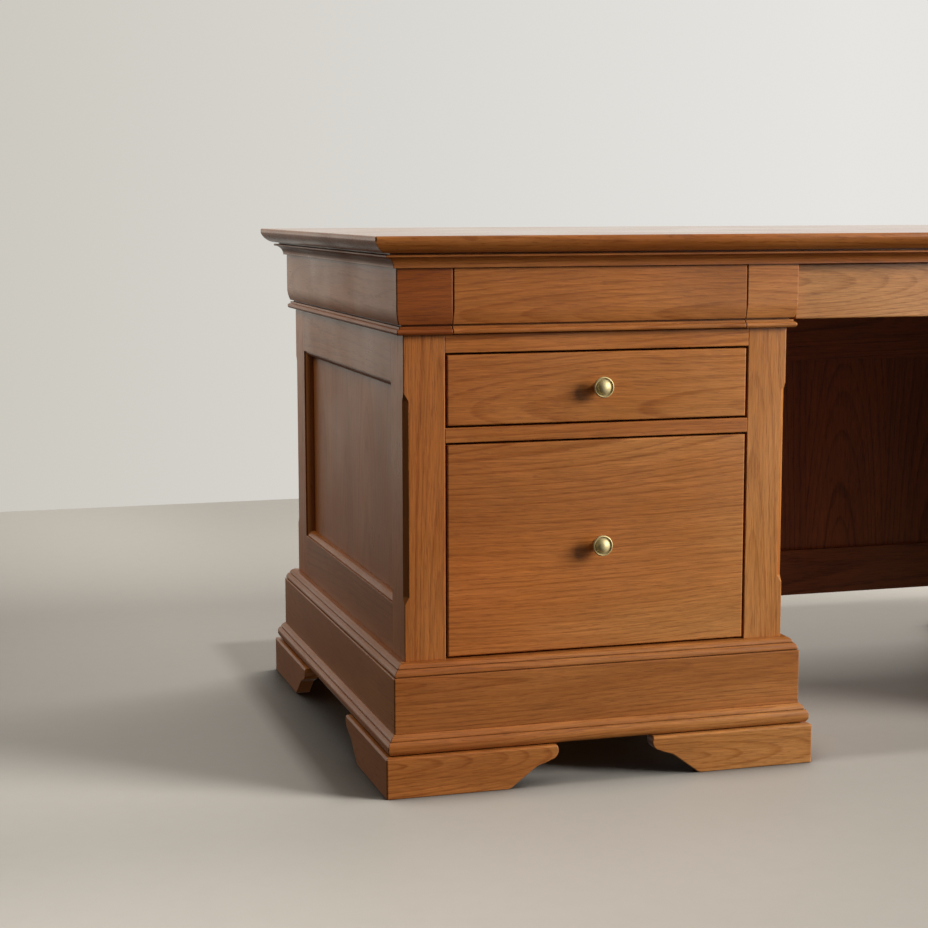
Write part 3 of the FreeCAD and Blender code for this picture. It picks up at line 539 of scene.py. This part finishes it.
# ---------------------------------------------------------------- metal
def brass(name, cx, face_y, cz, out):
    """Turned satin brass; out is -1 on the front and 1 on the back of the desk."""
    m = bpy.data.materials.new(name)
    m.use_nodes = True
    m.node_tree.nodes.clear()
    t = Tree(m.node_tree)
    place = t.node("ShaderNodeTexCoord").outputs["Object"]
    x, y, z = t.split(place)
    dx, dz = t.sub(x, cx), t.sub(z, cz)
    rad = t.m("SQRT", t.add(t.mul(dx, dx), t.mul(dz, dz)))
    depth = t.mul(t.sub(y, face_y), float(out))
    ang = t.m("ARCTAN2", dz, dx)
    turned = t.noise(t.xyz(t.mul(rad, 3200.0), t.mul(depth, 3200.0), t.mul(ang, 0.7)), detail=3.0, rough=0.6)
    cloud = t.noise(t.stretch(place, (120.0, 120.0, 120.0)), detail=3.0, rough=0.6)
    spots = t.noise(t.stretch(place, (650.0, 650.0, 650.0)), detail=2.0)
    # tarnish stays in the groove between rim and dome, and in the neck
    groove = t.mul(t.rng(rad, 0.0094, 0.0108), t.rng(rad, 0.0124, 0.0138, 1.0, 0.0), t.rng(depth, 0.0145, 0.0160))
    neck = t.rng(depth, 0.0125, 0.0025, 0.0, 1.0)
    age = t.m("MAXIMUM", t.mul(groove, 0.80), t.mul(neck, 0.85))
    age = t.m("MAXIMUM", age, t.rng(cloud, 0.50, 0.78, 0.0, 0.40))
    col = t.mixc(t.rng(turned, 0.3, 0.7), (0.73, 0.610, 0.300), (0.82, 0.705, 0.385))
    col = t.mixc(age, col, (0.255, 0.190, 0.085))
    col = t.mixc(t.rng(spots, 0.66, 0.78, 0.0, 0.35), col, (0.30, 0.21, 0.10))
    rgh = t.add(t.rng(turned, 0.25, 0.75, 0.53, 0.62, smooth=False), t.mul(age, 0.12))
    bp = t.node("ShaderNodeBump")
    bp.inputs["Strength"].default_value = 0.22
    bp.inputs["Distance"].default_value = 0.0002
    t.put(bp.inputs["Height"], t.add(turned, t.mul(cloud, 0.4)))
    s = t.node("ShaderNodeBsdfPrincipled")
    s.inputs["Metallic"].default_value = 0.55
    t.put(s.inputs["Base Color"], col)
    t.put(s.inputs["Roughness"], rgh)
    t.put(s.inputs["Normal"], bp.outputs[0])
    out_ = t.node("ShaderNodeOutputMaterial")
    t.put(out_.inputs["Surface"], s.outputs[0])
    return m


for stem, kind in stems:
    name = stem + "_knob"
    if name in nodes:
        lo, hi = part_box(name)
        mid = (lo + hi) / 2
        s = -1 if mid.y < 0 else 1
        wear_it(name, brass(name + "_brass", mid.x, s * 0.3665, mid.z, s))


def zinc():
    m = bpy.data.materials.new("zinc_plate")
    m.use_nodes = True
    m.node_tree.nodes.clear()
    t = Tree(m.node_tree)
    place = t.node("ShaderNodeTexCoord").outputs["Object"]
    cells = t.node("ShaderNodeTexVoronoi")
    t.put(cells.inputs["Vector"], t.stretch(place, (900.0, 900.0, 900.0)))
    film = t.noise(t.stretch(place, (260.0, 260.0, 260.0)), detail=3.0)
    col = t.mixc(t.rng(film, 0.35, 0.7), (0.50, 0.50, 0.49), (0.62, 0.61, 0.57))
    col = t.mixc(t.rng(cells.outputs["Distance"], 0.2, 0.6, 0.0, 0.25), col, (0.40, 0.40, 0.41))
    s = t.node("ShaderNodeBsdfPrincipled")
    s.inputs["Metallic"].default_value = 1.0
    t.put(s.inputs["Base Color"], col)
    t.put(s.inputs["Roughness"], t.rng(film, 0.3, 0.7, 0.30, 0.46, smooth=False))
    bp = t.node("ShaderNodeBump")
    bp.inputs["Strength"].default_value = 0.15
    bp.inputs["Distance"].default_value = 0.0001
    t.put(bp.inputs["Height"], film)
    t.put(s.inputs["Normal"], bp.outputs[0])
    out_ = t.node("ShaderNodeOutputMaterial")
    t.put(out_.inputs["Surface"], s.outputs[0])
    return m


wear_it("top_and_pedestal_fixings", zinc())

# ---------------------------------------------------------------- floor
me = bpy.data.meshes.new("floor")
me.from_pydata([(-14, -14, 0), (14, -14, 0), (14, 2.38, 0), (-14, 2.38, 0)], [], [(0, 1, 2, 3)])
floor = bpy.data.objects.new("floor", me)
scene.collection.objects.link(floor)
fm = bpy.data.materials.new("pale_floor")
fm.use_nodes = True
fm.node_tree.nodes.clear()
t = Tree(fm.node_tree)
place = t.node("ShaderNodeTexCoord").outputs["Object"]
slow = t.noise(t.stretch(place, (1.1, 1.1, 1.1)), detail=4.0, rough=0.55)
grit = t.noise(t.stretch(place, (30.0, 30.0, 30.0)), detail=4.0, rough=0.6)
col = t.mixc(t.rng(slow, 0.3, 0.72), (0.606, 0.573, 0.520), (0.630, 0.597, 0.543))
col = t.mixc(t.rng(grit, 0.35, 0.75, 0.0, 0.10), col, (0.48, 0.455, 0.415))
fx, fy, fz = t.split(place)
# painted light and shade on the floor: a lighter band left of the desk, darker further left and towards the back,
# lighter at the front, most to the left
painted_floor_light = t.add(t.mul(t.rng(fx, -0.7, -1.15, 0.0, 0.16), t.rng(fy, -0.55, -0.25)), t.rng(fx, -1.2, -2.0, 0.0, -0.19), t.rng(fy, 0.8, 1.8, 0.0, -0.07), 0.94)
painted_floor_light = t.mul(t.mad(t.rng(fy, -0.3, -0.9), t.rng(fx, -0.1, -1.9, 0.08, 0.43, smooth=False), painted_floor_light), 0.62)
# painted contact shadow: the floor darker where ambient occlusion finds the desk within 12 cm
shade_ao = t.node("ShaderNodeAmbientOcclusion", samples=8)
shade_ao.inputs["Distance"].default_value = 0.12
painted_floor_light = t.mul(painted_floor_light, t.rng(shade_ao.outputs["AO"], 0.40, 0.82, 0.11, 1.0, smooth=False))
col = t.mixc(1.0, col, t.xyz(painted_floor_light, painted_floor_light, painted_floor_light), blend="MULTIPLY")
s = t.node("ShaderNodeBsdfPrincipled")
t.put(s.inputs["Base Color"], col)
t.put(s.inputs["Roughness"], t.rng(slow, 0.3, 0.7, 0.54, 0.58))
out_ = t.node("ShaderNodeOutputMaterial")
t.put(out_.inputs["Surface"], s.outputs[0])
me.materials.append(fm)
floor.visible_diffuse = False
floor.visible_glossy = False

# ---------------------------------------------------------------- light
world = bpy.data.worlds.new("studio")
scene.world = world
world.use_nodes = True
world.node_tree.nodes.clear()
t = Tree(world.node_tree)
d = t.node("ShaderNodeTexCoord").outputs["Generated"]
x, y, z = t.split(d)
wall = t.mixc(t.rng(x, 0.02, 0.46, smooth=False), (0.592, 0.568, 0.512), (0.79, 0.78, 0.755))
# what lights the desk: a pale wall behind, a lit ceiling brighter to the right, dim sides and front, and a dim floor
left, front = t.rng(x, 0.05, -0.10), t.rng(y, 0.10, -0.30)
back = t.mixc(left, t.mixc(t.rng(x, 0.02, 0.46, smooth=False), (0.70, 0.65, 0.575), (0.90, 0.855, 0.79)), (0.93, 0.86, 0.76))
back = t.mixc(t.mul(left, t.rng(z, -0.01, -0.235)), back, (0.030, 0.028, 0.026))
back = t.mixc(t.mul(left, t.rng(z, -0.08, 0.13), t.rng(z, 0.60, 0.35)), back, (0.58, 0.55, 0.50))
sides = t.mixc(t.rng(x, -0.8, 0.8), (0.055, 0.054, 0.052), (0.24, 0.235, 0.225))
sky = t.mixc(t.rng(y, -0.2, -0.85), sides, (0.04, 0.039, 0.038))
sky = t.mixc(t.rng(y, 0.55, 0.90), sky, back)
above = t.mixc(t.rng(x, -0.7, 0.7), (0.20, 0.194, 0.180), (0.62, 0.602, 0.570))
sky = t.mixc(t.rng(z, 0.30, 0.85), sky, above)
below = t.mixc(t.rng(x, -0.6, 0.6), (0.030, 0.028, 0.026), (0.14, 0.134, 0.124))
below = t.mixc(t.mul(front, t.rng(x, 0.10, 0.60)), below, (0.46, 0.44, 0.40))
below = t.mixc(t.rng(z, -0.50, -0.80), below, (0.006, 0.0055, 0.005))
sky = t.mixc(t.rng(z, -0.08, -0.40), sky, below)
seen = t.node("ShaderNodeLightPath").outputs["Is Camera Ray"]
sky = t.mixc(seen, sky, wall)
bg = t.node("ShaderNodeBackground")
t.put(bg.inputs["Color"], sky)
bg.inputs["Strength"].default_value = 1.0
wo = t.node("ShaderNodeOutputWorld")
t.put(wo.inputs["Surface"], bg.outputs[0])


def area(name, at, to, size, power, colour):
    li = bpy.data.lights.new(name, "AREA")
    li.shape = "RECTANGLE"
    li.size, li.size_y = size
    li.energy = power
    li.color = colour
    o = bpy.data.objects.new(name, li)
    scene.collection.objects.link(o)
    o.location = at
    o.rotation_euler = (Vector(to) - Vector(at)).to_track_quat("-Z", "Y").to_euler()
    o.visible_camera = False
    return o


def keep_off(light, objects):
    """The light passes these objects by."""
    c = bpy.data.collections.new(light.name + "_off")
    for o in objects:
        c.objects.link(o)
    for link in c.collection_objects:
        link.light_linking.link_state = "EXCLUDE"
    light.light_linking.receiver_collection = c


def keep_on(light, objects):
    """The light falls on these objects only."""
    c = bpy.data.collections.new(light.name + "_on")
    for o in objects:
        c.objects.link(o)
    light.light_linking.receiver_collection = c


AZ, EL, FAR = math.radians(61.0), math.radians(19.0), 5.0
AIM = Vector((-0.65, -0.37, 0.40))
KEY = AIM + FAR * Vector((math.cos(EL) * math.sin(AZ), -math.cos(EL) * math.cos(AZ), math.sin(EL)))
shade = [nodes["modesty_frame"], nodes["modesty_panel"]]
key = area("key", KEY, AIM, (1.96, 1.96), 319.0, (1.0, 0.965, 0.92))
keep_off(key, shade + [floor])
me = bpy.data.meshes.new("gauze")
me.from_pydata([(1.5, -0.69, 0.19), (1.5, 0.30, 0.19), (1.5, 0.30, 0.97), (1.5, -0.69, 0.97)], [], [(0, 1, 2, 3)])
gauze = bpy.data.objects.new("gauze", me)
scene.collection.objects.link(gauze)
gm = bpy.data.materials.new("gauze")
gm.use_nodes = True
gm.node_tree.nodes.clear()
t = Tree(gm.node_tree)
thin = t.node("ShaderNodeBsdfTransparent")
thin.inputs["Color"].default_value = (0.42, 0.42, 0.42, 1.0)
t.put(t.node("ShaderNodeOutputMaterial").inputs["Surface"], thin.outputs[0])
me.materials.append(gm)
gauze.visible_camera = gauze.visible_diffuse = gauze.visible_glossy = gauze.visible_transmission = False
open_air = bpy.data.collections.new("open_air")
open_air.objects.link(gauze)
for link in open_air.collection_objects:
    link.light_linking.link_state = "EXCLUDE"
fill = area("fill", (-1.95, 0.75, 1.75), (-0.95, 0.0, 0.62), (1.0, 0.8), 9.2, (1.0, 0.97, 0.92))
fill.visible_glossy = False
keep_off(fill, [floor])
li = bpy.data.lights.new("floor_key", "SUN")
li.energy, li.angle, li.color = 6.4, 0.387, (1.0, 0.965, 0.92)
even = bpy.data.objects.new("floor_key", li)
scene.collection.objects.link(even)
even.location = KEY
even.rotation_euler = (Vector(AIM) - Vector(KEY)).to_track_quat("-Z", "Y").to_euler()
keep_on(even, [floor])
even.light_linking.blocker_collection = open_air
for name, at, to, size, power in (
    ("floor_above", (-0.75, -0.50, 4.0), (-0.75, -0.50, 0.0), (0.16, 0.16), 46.0),
    ("floor_behind", (0.2, 0.78, 1.8), (0.2, 0.78, 0.0), (1.6, 0.4), 22.0),
):
    o = area(name, at, to, size, power, (1.0, 0.965, 0.92))
    keep_on(o, [floor])
    o.light_linking.blocker_collection = open_air
glare = area("glare", (2.5, -3.6, 0.60), (-0.3, -0.37, 0.50), (1.2, 1.3), 27.0, (1.0, 0.97, 0.94))
glare.visible_diffuse = False
keep_off(glare, shade + [floor])

# ---------------------------------------------------------------- camera
yaw, pitch, roll = 0.28634, 0.13326, -0.00182
fwd = Vector((math.sin(yaw) * math.cos(pitch), math.cos(yaw) * math.cos(pitch), -math.sin(pitch)))
right = Vector((math.cos(yaw), -math.sin(yaw), 0.0))
up = right.cross(fwd)
r2 = math.cos(roll) * right + math.sin(roll) * up
u2 = -math.sin(roll) * right + math.cos(roll) * up
cd = bpy.data.cameras.new("camera")
cd.sensor_fit = "HORIZONTAL"
cd.sensor_width = 36.0
cd.lens = 75.875
cam = bpy.data.objects.new("camera", cd)
scene.collection.objects.link(cam)
cam.matrix_world = Matrix((
    (r2.x, u2.x, -fwd.x, -1.61684),
    (r2.y, u2.y, -fwd.y, -2.96060),
    (r2.z, u2.z, -fwd.z, 0.82520),
    (0, 0, 0, 1),
))
scene.camera = cam

scene.view_settings.view_transform = "Standard"
scene.view_settings.look = "None"
